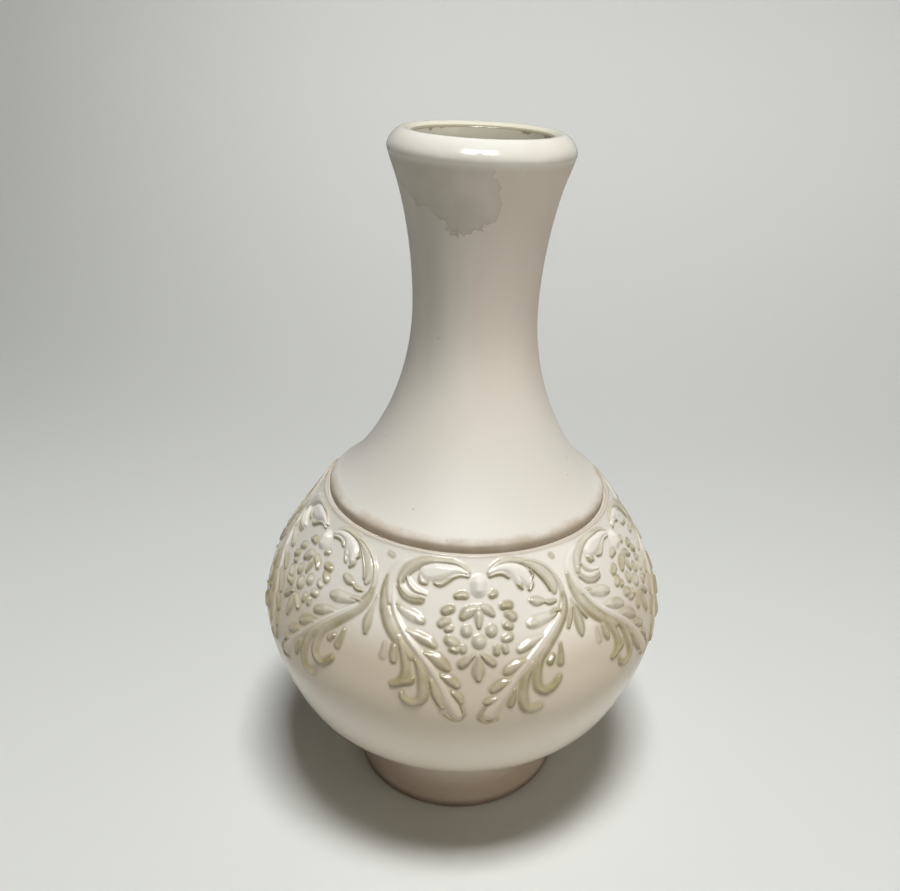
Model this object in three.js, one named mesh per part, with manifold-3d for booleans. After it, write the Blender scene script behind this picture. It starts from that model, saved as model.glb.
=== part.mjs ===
// A tall ceramic vase: foot ring, round belly with scroll panels laid on it, swept neck and rolled rim.
// Millimetres, +Z up, origin at the middle of the foot's underside.
// Azimuth is measured from the front (-Y) towards +X.
import * as THREE from "three";
import { mergeVertices } from "three/addons/utils/BufferGeometryUtils.js";
import Module from "manifold-3d";

const wasm = await Module();
wasm.setup();

// Foot ring.
const footHeight = 22.5;
const footBaseRadius = 53.6;
const footTopRadius = 51.5;
const footWall = 8.5;
const footEdge = 1.2;

// Belly: each rise starts where the one below ends. A small ring runs round the collar's foot, and inside,
// the wall draws in to the mouth over the mouth's rise.
const bowlRise = 37.8;
const bowlTopRadius = 87.7;
const sideRise = 40.7;
const bellyRadius = 99.8;
const upperRise = 59;
const ringGap = 0.8;
const ringWidth = 2;
const ringHeight = 1.2;
const bellyWall = 5.5;
const floorThickness = 7;
const mouthRise = 12;

// Neck: a collar step on the belly, a rounded lip, the shoulder sweep, the waist and the flare.
const collarRadius = 67.2;
const collarHeight = 3.3;
const collarWall = 6.4;
const lipRise = 2.2;
const lipInset = 2.7;
const shoulderRise = 84.5;
const waistRadius = 28.6;
const flareRise = 60;
const neckTopRadius = 37.3;
const neckWall = 5;

// Rim: the roll's widest place, its crown and the sharp throat edge inside it.
const rollRadius = 40;
const rollRise = 8.5;
const crownRadius = 34;
const crownRise = 9.1;
const throatRadius = 29.7;
const throatDrop = 2.6;
const throatEdge = 0.6;

// Scroll panels. Their drawing units are sixtieths of a panel's pitch, the same across and down.
const panelCount = 6;
const panelUnits = 60;
const frontTurn = 4.9;
const stemRise = 1.9;
const leafRise = 1.7;
const hookRise = 2.1;
const voluteRise = 2;
const beadRise = 2.9;
const berryRise = 2.3;
const petalRise = 1.8;
const tipShare = 0.5;
const seatGap = 0.3;

// Facets: sides round the pot, and spans along each sweep outside, inside and under the scroll panels.
const sidesPerPanel = 7;
const roundSides = sidesPerPanel * panelCount;
const outerSpans = 4;
const innerSpans = 2;
const panelSpans = 60;

// Each sweep is a cubic curve. Its pulls are the two handles, as shares of its run across and up.
const bowlPull = [[0.1, 0.27], [0.21, 0.37]];
const sidePull = [[0.36, 0.2], [0, 0.3]];
const upperPull = [[0, 0.37], [0.36, 0.28]];
const lipPull = [[0, 0.6], [0.35, 0.33]];
const shoulderPull = [[0.47, 0.15], [0, 0.45]];
const flarePull = [[0, 0.33], [0.6, 0.25]];
const footPull = [[0.57, 0.3], [0, 0.4]];
const rollPull = [[0.8, 0.12], [0, 0.5]];
const crownPull = [[0, 0.55], [0.55, 0]];
const throatPull = [[0.4, 0], [0.35, 0.6]];

// The backs of bands, as [share of the width, share of the rise], from the left edge to the right.
const keeled = [[0, 1]];
const rounded = [[-0.3, 0.85], [0.3, 0.85]];

// The sides of bosses and of the ring, as [share of the radius or width, share of the rise], from the edge.
const lobed = [[0.75, 0.7]];
const domed = [[0.9, 0.5], [0.55, 0.86]];
const ringBack = [[0.65, 1], [0.25, 0.8]];

// Places worked out from the sizes above.
const ringRadius = collarRadius + ringGap + ringWidth;
const mouthRadius = collarRadius - collarWall;
const bowlTop = footHeight + bowlRise;
const widestHeight = bowlTop + sideRise;
const collarSeat = widestHeight + upperRise;
const lipTop = collarSeat + collarHeight + lipRise;
const waistHeight = lipTop + shoulderRise;
const neckTop = waistHeight + flareRise;
const crownTop = neckTop + rollRise + crownRise;

const at = (radius, height) => new THREE.Vector2(radius, height);

function sweep(from, to, pulls, spans) {
  const run = to.clone().sub(from);
  const [start, end] = pulls.map(([across, up]) => at(across * run.x, up * run.y));
  const curve = new THREE.CubicBezierCurve(from, from.clone().add(start), to.clone().sub(end), to);
  return curve.getPoints(spans);
}

// Joins outlines that share their end points.
function chain(...outlines) {
  return outlines.flatMap((points, index) => (index ? points.slice(1) : points));
}

// The same outline moved sideways by a distance, towards its left as it is travelled.
function offset(points, distance) {
  return points.map((point, index) => {
    const before = points[Math.max(index - 1, 0)];
    const after = points[Math.min(index + 1, points.length - 1)];
    const along = after.clone().sub(before).normalize();
    return at(point.x - along.y * distance, point.y + along.x * distance);
  });
}

// The stretch of a rising outline between two heights, cut off level at both.
function stretch(points, low, high) {
  const level = (height) => {
    const above = Math.max(points.findIndex((point) => point.y > height), 1);
    const [from, to] = [points[above - 1], points[above]];
    return from.clone().lerp(to, (height - from.y) / (to.y - from.y));
  };
  return [level(low), ...points.filter((point) => point.y > low && point.y < high), level(high)];
}

// A closed geometry as a solid, with its faces turned out.
function solidOf(geometry) {
  const bare = new THREE.BufferGeometry();
  bare.setAttribute("position", geometry.getAttribute("position").clone());
  bare.setIndex(geometry.index.clone());
  const merged = mergeVertices(bare, 1e-4);
  const corners = [];
  const index = merged.index.array;
  for (let i = 0; i < index.length; i += 3) {
    const [a, b, c] = index.subarray(i, i + 3);
    if (a !== b && b !== c && c !== a) corners.push(a, b, c);
  }
  const build = () => new wasm.Manifold(new wasm.Mesh({
    numProp: 3,
    vertProperties: merged.attributes.position.array,
    triVerts: new Uint32Array(corners),
  }));
  const solid = build();
  if (solid.volume() > 0) return solid;
  corners.reverse();
  return build();
}

function geometryOf(solid) {
  const mesh = solid.getMesh();
  const geometry = new THREE.BufferGeometry();
  geometry.setAttribute("position", new THREE.BufferAttribute(mesh.vertProperties, 3));
  geometry.setIndex(new THREE.BufferAttribute(mesh.triVerts, 1));
  geometry.computeVertexNormals();
  return geometry;
}

// Turns an outline of radius and height about the upright axis.
function turned(outline) {
  return solidOf(new THREE.LatheGeometry(outline, roundSides).rotateX(Math.PI / 2));
}

function footRing() {
  const outer = sweep(at(footBaseRadius, footEdge), at(footTopRadius, footHeight), footPull, 3);
  const innerTop = footTopRadius - footWall;
  const innerBase = footBaseRadius - footWall;
  return turned([
    at(innerBase + footEdge, 0),
    at(footBaseRadius - footEdge, 0),
    ...outer,
    at(innerTop, footHeight),
    at(innerBase, footEdge),
    at(innerBase + footEdge, 0),
  ]);
}

// The belly's outside from the foot's top to the ring round the collar.
function bellyOutline(spans) {
  const foot = at(footTopRadius, footHeight);
  const crease = at(bowlTopRadius, bowlTop);
  const widest = at(bellyRadius, widestHeight);
  const ring = at(ringRadius, collarSeat);
  return chain(
    sweep(foot, crease, bowlPull, spans),
    sweep(crease, widest, sidePull, spans),
    sweep(widest, ring, upperPull, spans + 1),
  );
}

function belly() {
  const ring = ringBack.map(([side, share]) => (
    at(ringRadius - ringWidth + side * ringWidth, collarSeat + share * ringHeight)
  ));
  const floorTop = footHeight + floorThickness;
  const inside = stretch(offset(bellyOutline(innerSpans), bellyWall), floorTop, collarSeat - mouthRise);
  return turned([
    at(0, footHeight),
    ...bellyOutline(outerSpans),
    ...ring,
    at(ringRadius - ringWidth, collarSeat),
    at(mouthRadius, collarSeat),
    ...inside.reverse(),
    at(0, floorTop),
  ]);
}

function neck() {
  const wallTop = at(collarRadius, collarSeat + collarHeight);
  const lip = at(collarRadius - lipInset, lipTop);
  const waist = at(waistRadius, waistHeight);
  const top = at(neckTopRadius, neckTop);
  const shoulderAndFlare = (spans) => chain(
    sweep(lip, waist, shoulderPull, spans + 2),
    sweep(waist, top, flarePull, spans),
  );
  const inside = offset(shoulderAndFlare(innerSpans), neckWall).slice(1, -1).reverse();
  const mouth = at(mouthRadius, collarSeat);
  return turned([
    mouth,
    at(collarRadius, collarSeat),
    ...sweep(wallTop, lip, lipPull, 2),
    ...shoulderAndFlare(outerSpans).slice(1),
    at(neckTopRadius - neckWall, neckTop),
    ...inside,
    mouth,
  ]);
}

function rim() {
  const seat = at(neckTopRadius, neckTop);
  const widest = at(rollRadius, neckTop + rollRise);
  const crown = at(crownRadius, crownTop);
  const edge = at(throatRadius + throatEdge, crownTop - throatDrop);
  const bore = at(neckTopRadius - neckWall, neckTop);
  return turned([
    bore,
    ...chain(
      sweep(seat, widest, rollPull, 2),
      sweep(widest, crown, crownPull, 3),
      sweep(crown, edge, throatPull, 2),
    ),
    at(throatRadius, crownTop - throatDrop - throatEdge),
    bore,
  ]);
}

// One drawing unit as an angle about the upright axis.
const unitAngle = (2 * Math.PI) / panelCount / panelUnits;

// The belly from the ring down, with how far down the drawing each place lies.
// A step down the drawing is as long as the same step across it at that height, so shapes keep their form.
function drawingDepths() {
  const outline = bellyOutline(panelSpans).reverse();
  let down = 0;
  return outline.map((point, index) => {
    const above = outline[Math.max(index - 1, 0)];
    down += point.distanceTo(above) / ((point.x + above.x) / 2) / unitAngle;
    return { point, down };
  });
}
const depths = drawingDepths();

// A place on the belly from the drawing, lifted off the surface along its normal.
function onBelly(across, down, lift) {
  const found = depths.findIndex((entry) => entry.down > down);
  const next = Math.max(found < 0 ? depths.length - 1 : found, 1);
  const [upper, lower] = [depths[next - 1], depths[next]];
  const share = (down - upper.down) / (lower.down - upper.down);
  const along = lower.point.clone().sub(upper.point).normalize();
  const radius = THREE.MathUtils.lerp(upper.point.x, lower.point.x, share) - along.y * lift;
  const height = THREE.MathUtils.lerp(upper.point.y, lower.point.y, share) + along.x * lift;
  const azimuth = across * unitAngle;
  return new THREE.Vector3(radius * Math.sin(azimuth), -radius * Math.cos(azimuth), height);
}

// Bands and bosses are made flat: [across, down] in the drawing, and a lift in millimetres.

// A band of clay along a path of [across, down, width] places, with pointed ends.
function band(path, rise, steps, back) {
  const stops = path.map((place) => new THREE.Vector3(...place));
  const curve = new THREE.CatmullRomCurve3(stops, false, "centripetal");
  const section = [[-0.5, seatGap], ...back.map(([side, share]) => [side, share * rise]), [0.5, seatGap]];
  const facing = (share) => curve.getTangentAt(share).setZ(0).normalize();
  const places = [];
  const corner = (x, y, lift) => places.push(new THREE.Vector3(x, y, lift)) - 1;
  const rings = [];
  for (let step = 0; step <= steps; step += 1) {
    const { x, y, z: width } = curve.getPointAt(step / steps);
    const along = facing(step / steps).multiplyScalar(width);
    rings.push(section.map(([side, lift]) => corner(x - along.y * side, y + along.x * side, lift)));
  }
  const tip = (share, sign) => {
    const { x, y, z: width } = curve.getPointAt(share);
    const reach = facing(share).multiplyScalar(sign * width * tipShare);
    return corner(x + reach.x, y + reach.y, seatGap);
  };
  const start = tip(0, -1);
  const end = tip(1, 1);
  const corners = [];
  section.forEach((_, side) => {
    const next = (side + 1) % section.length;
    for (let step = 0; step < steps; step += 1) {
      const [near, far] = [rings[step], rings[step + 1]];
      corners.push(near[side], near[next], far[next], near[side], far[next], far[side]);
    }
    corners.push(start, rings[0][next], rings[0][side], end, rings[steps][side], rings[steps][next]);
  });
  return solidOf(new THREE.BufferGeometry().setFromPoints(places).setIndex(corners));
}

// A round boss of clay at [across, down, radius].
function boss([across, down, radius], rise, sides, back) {
  const outline = back.map(([side, share]) => at(side * radius, share * rise));
  const closed = [at(0, seatGap), at(radius, seatGap), ...outline, at(0, rise)];
  return solidOf(new THREE.LatheGeometry(closed, sides).rotateX(Math.PI / 2).translate(across, down, 0));
}

// Pieces of clay joined into one sprig and wrapped on the belly.
function sprig(pieces) {
  const geometry = geometryOf(pieces.reduce((whole, piece) => whole.add(piece)));
  const place = geometry.getAttribute("position");
  for (let i = 0; i < place.count; i += 1) {
    const seated = onBelly(place.getX(i), place.getY(i), place.getZ(i));
    place.setXYZ(i, seated.x, seated.y, seated.z);
  }
  return geometryOf(solidOf(geometry));
}

function scrollLeft() {
  const leaf = (...path) => band(path, leafRise, 2, keeled);
  return sprig([
    band([[-27.4, 8.8, 1.4], [-25.6, 12.8, 2], [-24.6, 19.4, 1.6], [-20.8, 25.6, 1.8], [-14.6, 31.1, 2],
      [-8.8, 38.6, 2.6], [-6, 43.2, 3.4]], stemRise, 8, rounded),
    band([[-4.4, 6.2, 1.6], [-8.9, 2.8, 2], [-16.9, 2.4, 2.4], [-23.4, 6, 2.4], [-25, 11.6, 2.4],
      [-21.3, 15.2, 1.8], [-17.9, 15.2, 2.8]], voluteRise, 8, rounded),
    leaf([-7, 5, 3.4], [-12.4, 6.6, 5.6], [-17.8, 8.4, 3.4]),
    leaf([-24.2, 18.4, 1.8], [-20.6, 19.6, 3.2], [-17.8, 20.8, 2]),
    leaf([-20.2, 25, 1.8], [-15.6, 24.8, 3.4], [-12.2, 26.4, 2]),
    leaf([-14.2, 30.4, 1.8], [-10.8, 30.2, 3.2], [-8.4, 32, 2]),
    leaf([-10.2, 35.4, 1.8], [-7.4, 35.2, 2.8], [-5.8, 36.6, 1.6]),
    leaf([-7.2, 40, 1.8], [-5.4, 39.4, 2.4], [-4.4, 40.6, 1.6]),
    leaf([-25.4, 18.4, 1.8], [-24.2, 24.8, 2.6], [-22.4, 31.6, 2.2]),
    band([[-20.6, 26.4, 2], [-18.6, 31, 2.6], [-18.2, 35.4, 2.6], [-21, 37.9, 1.8]], hookRise, 4, keeled),
    band([[-15.6, 31.4, 1.8], [-13.6, 36, 2.6], [-13.6, 40, 3], [-16.4, 42.3, 2.4], [-18.6, 40.6, 1.4]],
      hookRise, 5, keeled),
  ]);
}

function scrollRight() {
  const leaf = (...path) => band(path, leafRise, 2, keeled);
  return sprig([
    band([[27.8, 8.8, 1.4], [26.2, 12.8, 2], [25.4, 18.6, 1.6], [22, 24.6, 1.8], [14.4, 31.1, 2],
      [6.4, 39.4, 2.6], [2.6, 43.8, 3.4]], stemRise, 8, rounded),
    band([[4.4, 6.2, 1.6], [8.6, 2.8, 2], [15.8, 2.4, 2.4], [22.8, 5.6, 2.4], [25.8, 11.6, 2.4],
      [22.6, 16, 1.6], [18.2, 15.8, 2.8]], voluteRise, 8, rounded),
    leaf([7, 5, 3.4], [12.4, 7, 5.6], [17, 9.4, 3.4]),
    leaf([24.2, 20, 2], [18.6, 20.8, 3.2], [14.8, 21.4, 2.2]),
    leaf([19.2, 26.4, 1.8], [14, 26.2, 3.2], [11, 27.6, 2]),
    leaf([13, 32, 1.8], [9.4, 31.8, 3], [7.2, 33.2, 2]),
    leaf([8.2, 37, 1.8], [5.2, 36.8, 2.6], [3.6, 37.8, 1.6]),
    leaf([5, 41, 1.8], [3, 40, 2.2], [2, 40.8, 1.4]),
    leaf([25.6, 20, 1.8], [24, 26, 2.4], [22, 33.6, 1.8]),
    band([[20.6, 26.6, 2], [16.4, 31.4, 2.6], [14.4, 36, 2.6], [16.2, 39.8, 2.4], [20.4, 38, 1.4]],
      hookRise, 5, keeled),
    band([[13.4, 33.4, 1.8], [11, 37.4, 2.6], [10.6, 41.4, 2.8], [13, 44.2, 2.2], [15.6, 43.8, 1.4]],
      hookRise, 5, keeled),
  ]);
}

function bead() {
  return sprig([
    boss([0, 9.3, 3.1], beadRise, 10, domed),
    band([[-2.2, 11.2, 1.8], [-6.2, 13, 2.6]], leafRise, 1, keeled),
    band([[2, 11.2, 1.8], [5.2, 12.6, 2.4]], leafRise, 1, keeled),
  ]);
}

function crest() {
  return sprig([
    band([[-5, 18.2, 2.2], [-3.2, 15.9, 2.2], [0, 15, 2.2], [3, 15.9, 2.2], [4.3, 18, 2.2]],
      petalRise, 4, keeled),
    band([[0, 16, 3], [0, 20.8, 1.4]], petalRise, 1, keeled),
  ]);
}

// A crescent of lobes: a band that swells at each lobe and narrows between them.
function wreathLeft() {
  return sprig([
    band([[-8.4, 15.8, 2], [-9, 17.2, 3.4], [-9.2, 18.9, 2.2], [-9.2, 20.7, 3.8], [-8.4, 22.6, 2.2],
      [-7.4, 24.8, 3.8], [-6.2, 26.2, 2.6], [-4.8, 27.2, 3]], petalRise, 9, keeled),
  ]);
}

function wreathRight() {
  return sprig([
    band([[7.8, 14.6, 2], [9, 16.4, 3.4], [9.6, 18.2, 2.4], [9.4, 20.2, 3.8], [8.4, 22.2, 2.2],
      [8, 24.4, 3.8], [6.8, 26.2, 2.4], [5, 27.6, 2.8]], petalRise, 9, keeled),
  ]);
}

function flower() {
  return sprig([
    boss([-2.8, 22.9, 2], berryRise, 6, lobed),
    boss([2.9, 22.9, 2], berryRise, 6, lobed),
    boss([0, 25.6, 2.4], berryRise, 6, lobed),
    band([[-0.8, 28, 1.6], [-2.6, 29.8, 2.2], [-4.2, 31.4, 1.8]], petalRise, 2, keeled),
    band([[0.8, 28, 1.6], [2.4, 29.8, 2.2], [3.7, 31.2, 1.8]], petalRise, 2, keeled),
    band([[0, 27.4, 1.6], [0, 32, 3.6], [0, 35.4, 1.2]], petalRise, 2, keeled),
  ]);
}

// Leaves that hang in the valley to the right of a panel.
function valleyLeaves(several) {
  const leaf = (...path) => band(path, leafRise, 2, keeled);
  const middle = leaf([29.6, 18.4, 1.8], [29.6, 23.6, 2.6], [29.2, 27.8, 1.4]);
  if (!several) return sprig([middle]);
  return sprig([
    middle,
    leaf([29.2, 18.6, 1.6], [28.4, 21.6, 1.8], [27.9, 24.6, 1.2]),
    leaf([29.8, 18.6, 1.6], [30.8, 20.6, 1.8], [31.2, 22, 1.2]),
  ]);
}

function glaze(color, roughness) {
  return new THREE.MeshStandardMaterial({ color, roughness, metalness: 0 });
}

const vase = new THREE.Group();
vase.rotation.z = THREE.MathUtils.degToRad(frontTurn);

function place(parent, name, geometry, material) {
  const mesh = new THREE.Mesh(geometry, material);
  mesh.name = name;
  parent.add(mesh);
}

place(vase, "foot_ring", geometryOf(footRing()), glaze(0xd8d0c0, 0.2));
place(vase, "belly", geometryOf(belly()), glaze(0xebe5da, 0.12));
place(vase, "neck", geometryOf(neck()), glaze(0xe9e4da, 0.12));
place(vase, "rim", geometryOf(rim()), glaze(0xece8da, 0.12));

// Each sprig's shape, and its colour on the finished pot.
const sprigs = {
  scroll_left: [scrollLeft(), glaze(0xcfc4a4, 0.14)],
  scroll_right: [scrollRight(), glaze(0xcfc4a4, 0.14)],
  bead: [bead(), glaze(0xe6dfd0, 0.12)],
  crest: [crest(), glaze(0xcbc09c, 0.14)],
  wreath_left: [wreathLeft(), glaze(0xc3b68f, 0.14)],
  wreath_right: [wreathRight(), glaze(0xc3b68f, 0.14)],
  flower: [flower(), glaze(0xb9ab84, 0.14)],
};
const valleyGlaze = glaze(0xc6ba97, 0.14);
const valleyKinds = [valleyLeaves(true), valleyLeaves(false)];

for (let panel = 0; panel < panelCount; panel += 1) {
  const turn = new THREE.Group();
  turn.rotation.z = (2 * Math.PI * panel) / panelCount;
  for (const [name, [geometry, material]] of Object.entries(sprigs)) {
    place(turn, `${name}_${panel + 1}`, geometry, material);
  }
  place(turn, `valley_leaf_${panel + 1}`, valleyKinds[panel % valleyKinds.length], valleyGlaze);
  vase.add(turn);
}

export default vase;
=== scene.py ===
import math
from collections import namedtuple

import bmesh
import bpy
import numpy as np
from mathutils import Matrix, Vector


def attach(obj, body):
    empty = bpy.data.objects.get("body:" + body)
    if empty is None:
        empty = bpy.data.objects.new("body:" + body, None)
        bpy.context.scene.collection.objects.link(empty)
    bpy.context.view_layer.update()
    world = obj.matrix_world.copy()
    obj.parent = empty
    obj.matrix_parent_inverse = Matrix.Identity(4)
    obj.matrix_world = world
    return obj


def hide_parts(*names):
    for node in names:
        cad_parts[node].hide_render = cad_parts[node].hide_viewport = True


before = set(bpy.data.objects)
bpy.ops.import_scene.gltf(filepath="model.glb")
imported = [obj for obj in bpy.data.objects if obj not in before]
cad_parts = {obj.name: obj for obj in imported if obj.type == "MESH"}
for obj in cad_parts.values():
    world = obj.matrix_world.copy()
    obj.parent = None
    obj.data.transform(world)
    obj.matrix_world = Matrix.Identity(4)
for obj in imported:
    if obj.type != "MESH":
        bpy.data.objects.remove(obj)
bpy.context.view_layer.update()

# All sizes below are millimetres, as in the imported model; a mesh is scaled to metres when it is finished.
MM = 0.001

# The camera stands in front of the vase and looks down at it. The photograph is 900 by 891 pixels.
PHOTO_WIDTH = 900
PHOTO_HEIGHT = 891
FOCAL_PIXELS = 847.8
OPTICAL_CENTRE = (490, 425)
CAMERA_DISTANCE = 376.8
CAMERA_HEIGHT = 352.4
CAMERA_YAW = math.radians(1.46)
CAMERA_PITCH = math.radians(23.14)
CAMERA_ROLL = math.radians(3.11)
SENSOR_WIDTH = 36

# Levels where the thrown pieces meet, from the ground up.
FOOT_TOP = 22.5
BOWL_TOP = 60.3
WIDEST = 101
SEAT = 160
WALL_TOP = 162.9
LIP_TOP = 165.8
WAIST = 250
NECK_TOP = 310
ROLL = 319
CROWN = 326.4

# Radii at those levels, from the foot to the crown of the rim.
FOOT_RADIUS = 51.5
BOWL_RADIUS = 87.7
BELLY_RADIUS = 99.8
SEAT_RADIUS = 70
LIP_RADIUS = 64.1
WAIST_RADIUS = 28.6
NECK_RADIUS = 37.8
ROLL_RADIUS = 40.5
CROWN_RADIUS = 34.4

# Walls, floor and the faces where one piece sits on another.
BELLY_WALL = 5.5
NECK_WALL = 5
BELLY_FLOOR = 29.5
SEAT_INSIDE = 60.8
NECK_INSIDE = 32.3
SKIRT_RADIUS = 67.2
RING_HEIGHT = 0.8
SHARP_EDGE = math.radians(38)

# The mouth isn't quite level: from here up, the neck eases over until it dips towards the front.
DIP_START = 262
MOUTH_DIP = 0.034

# Sprig drawings use sixtieths of a panel's pitch, the same across and down from the ring round the collar.
PANELS = 6
PANEL_UNITS = 60
FRONT_TURN = math.radians(4.9)
UNIT_ANGLE = 2 * math.pi / PANELS / PANEL_UNITS
CELL = 0.25

# A film of clay runs out round each sprig, and a film of wash with it. Only lifts are millimetres here.
FLANGE = 1.1
HALO = 0.85
TOE = 0.12
SINK = 0.012
UNDERSIDE = -0.5
CREASE = 7
BELLY_STEPS = 120


# Outlines of radius and height

def sweep(start, end, pulls, steps):
    """A cubic curve between two places. Its handles are shares of the run across and up."""
    start, end = np.array(start, float), np.array(end, float)
    run = end - start
    first, last = start + np.array(pulls[0]) * run, end - np.array(pulls[1]) * run
    t = np.linspace(0, 1, steps + 1)[:, None]
    return (1 - t) ** 3 * start + 3 * (1 - t) ** 2 * t * first + 3 * (1 - t) * t ** 2 * last + t ** 3 * end


def chain(*outlines):
    """Joins outlines that share their end points."""
    return np.concatenate([outlines[0]] + [points[1:] for points in outlines[1:]])


def rounding(centre, radius, start, end, steps):
    """An arc, from one angle in degrees to another."""
    turn = np.radians(np.linspace(start, end, steps + 1))
    return np.array(centre) + radius * np.stack([np.cos(turn), np.sin(turn)], 1)


def offset(points, distance):
    """The same outline moved to its left by a distance."""
    along = np.gradient(points, axis=0)
    along /= np.linalg.norm(along, axis=1)[:, None]
    return points + distance * np.stack([-along[:, 1], along[:, 0]], 1)


def belly_outside(steps):
    """The belly's outer outline, from the foot up to the seat of the neck."""
    return chain(
        sweep((FOOT_RADIUS, FOOT_TOP), (BOWL_RADIUS, BOWL_TOP), [(0.1, 0.27), (0.21, 0.37)], steps),
        sweep((BOWL_RADIUS, BOWL_TOP), (BELLY_RADIUS, WIDEST), [(0.36, 0.2), (0, 0.3)], steps),
        sweep((BELLY_RADIUS, WIDEST), (SEAT_RADIUS, SEAT), [(0, 0.37), (0.36, 0.28)], steps),
    )


def turned(name, outline, closed_on_axis=False, turns=192):
    """Spins an outline about the upright axis into a closed piece."""
    bm = bmesh.new()
    verts = [bm.verts.new((radius, 0, height)) for radius, height in outline]
    edges = [bm.edges.new(pair) for pair in zip(verts, verts[1:])]
    if not closed_on_axis:
        edges.append(bm.edges.new((verts[-1], verts[0])))
    bmesh.ops.spin(
        bm, geom=verts + edges, cent=(0, 0, 0), axis=(0, 0, 1),
        angle=2 * math.pi, steps=turns, use_merge=True,
    )
    bmesh.ops.remove_doubles(bm, verts=bm.verts, dist=0.001)
    dipped(bm)
    bmesh.ops.recalc_face_normals(bm, faces=bm.faces)
    return finished(name, bm)


def dipped(bm):
    """Lets the top of a piece sink towards the front, as the mouth of this vase does."""
    for vert in bm.verts:
        share = min(1, max(0, (vert.co.z - DIP_START) / (NECK_TOP - DIP_START)))
        vert.co.z += MOUTH_DIP * vert.co.y * share ** 2 * (3 - 2 * share)


def finished(name, bm):
    """The piece in metres, smooth but for its real edges."""
    bmesh.ops.scale(bm, vec=(MM, MM, MM), verts=bm.verts)
    for face in bm.faces:
        face.smooth = True
    for edge in bm.edges:
        edge.smooth = edge.calc_face_angle(0) < SHARP_EDGE
    mesh = bpy.data.meshes.new(name)
    bm.to_mesh(mesh)
    bm.free()
    piece = bpy.data.objects.new(name, mesh)
    bpy.context.collection.objects.link(piece)
    return piece


# The thrown pieces

def foot_ring():
    outside = sweep((53.6, 1.2), (FOOT_RADIUS, FOOT_TOP), [(0.57, 0.3), (0, 0.4)], 24)
    outline = np.concatenate([
        rounding((46.3, 1.2), 1.2, 180, 270, 6),
        rounding((52.4, 1.2), 1.2, -90, 0, 8)[:-1],
        outside,
        [(43, FOOT_TOP)],
    ])
    return turned("foot_ring_glazed", outline)


def belly():
    outside = belly_outside(36)
    inside = offset(outside, BELLY_WALL)
    inside = inside[(inside[:, 1] > BELLY_FLOOR) & (inside[:, 1] < 148)][::-1]
    ring = rounding((SEAT_RADIUS - 1, SEAT), 1, 0, 180, 8)[1:]
    ring[:, 1] = SEAT + (ring[:, 1] - SEAT) * RING_HEIGHT
    floor = sweep((inside[-1][0], BELLY_FLOOR), (0, BELLY_FLOOR), [(0.3, 0), (0.3, 0)], 6)
    outline = np.concatenate([[(0, FOOT_TOP)], outside, ring, [(SEAT_INSIDE, SEAT)], inside, floor])
    return turned("belly_glazed", outline, closed_on_axis=True)


def neck():
    outside = chain(
        sweep((SKIRT_RADIUS, WALL_TOP), (LIP_RADIUS, LIP_TOP), [(0, 0.6), (0.35, 0.33)], 10),
        sweep((LIP_RADIUS, LIP_TOP), (WAIST_RADIUS, WAIST), [(0.47, 0.15), (0, 0.45)], 56),
        sweep((WAIST_RADIUS, WAIST), (NECK_RADIUS, NECK_TOP), [(0, 0.33), (0.6, 0.25)], 36),
    )
    inside = offset(outside, NECK_WALL)
    inside = inside[(inside[:, 1] > 176) & (inside[:, 1] < 304)][::-1]
    base = [(SEAT_INSIDE, SEAT), (67, SEAT), (SKIRT_RADIUS, SEAT + 0.4)]
    outline = np.concatenate([base, outside, [(NECK_INSIDE, NECK_TOP)], inside])
    return turned("neck_glazed", outline)


def rim():
    outline = np.concatenate([
        [(NECK_INSIDE, NECK_TOP)],
        chain(
            sweep((NECK_RADIUS, NECK_TOP), (ROLL_RADIUS, ROLL), [(0.55, 0.5), (0, 0.15)], 16),
            sweep((ROLL_RADIUS, ROLL), (CROWN_RADIUS, CROWN), [(0, 0.4), (0.35, 0)], 20),
            sweep((CROWN_RADIUS, CROWN), (30.5, 324.9), [(0.5, 0), (0.2, 0.7)], 14),
        ),
        [(30, 324.5), (29.7, 323.9)],
    ])
    return turned("rim_glazed", outline)


# The sprigs: soft relief laid on the belly

# A kind of clay work: how high it stands, how far its side slopes in, and how much brown wash it holds.
Clay = namedtuple("Clay", "rise slope wash")
STEM = Clay(0.85, 1.7, 0.0)
BANK = Clay(0.75, 1.5, 0.1)
CRESCENT = Clay(0.85, 1.6, 0.55)
BANK_EDGE = Clay(0.9, 0.8, 0.4)
VOLUTE = Clay(1.15, 1.7, 0.62)
CURL = Clay(1.3, 1.1, 0.12)
HALF_LEAF = Clay(1.2, 1.8, 0.0)
LEAF_EDGE = Clay(0.9, 1.0, 0.85)
PALE_LEAF = Clay(0.85, 1.9, 0.4)
LEAF = Clay(0.9, 1.8, 0.74)
TAN_BAND = Clay(0.8, 1.6, 0.88)
HOOK = Clay(1.05, 1.3, 0.97)
FAINT = Clay(0.4, 1.2, 0.45)
BUD = Clay(1.2, 1.3, 0.8)
BEAD = Clay(2.3, 3.0, 0.05)
BERRY = Clay(1.5, 1.7, 0.72)
PETAL = Clay(1.2, 1.4, 0.8)
LOBE = Clay(1.25, 1.4, 0.82)
# A washed ridge round the lower end of each stem: partly wash, partly a painted shadow under the stem.
DARK_EDGE_SHADOW = Clay(0.7, 0.8, 1.05)
STAIN = Clay(0.1, 1.0, 0.5)

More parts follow.
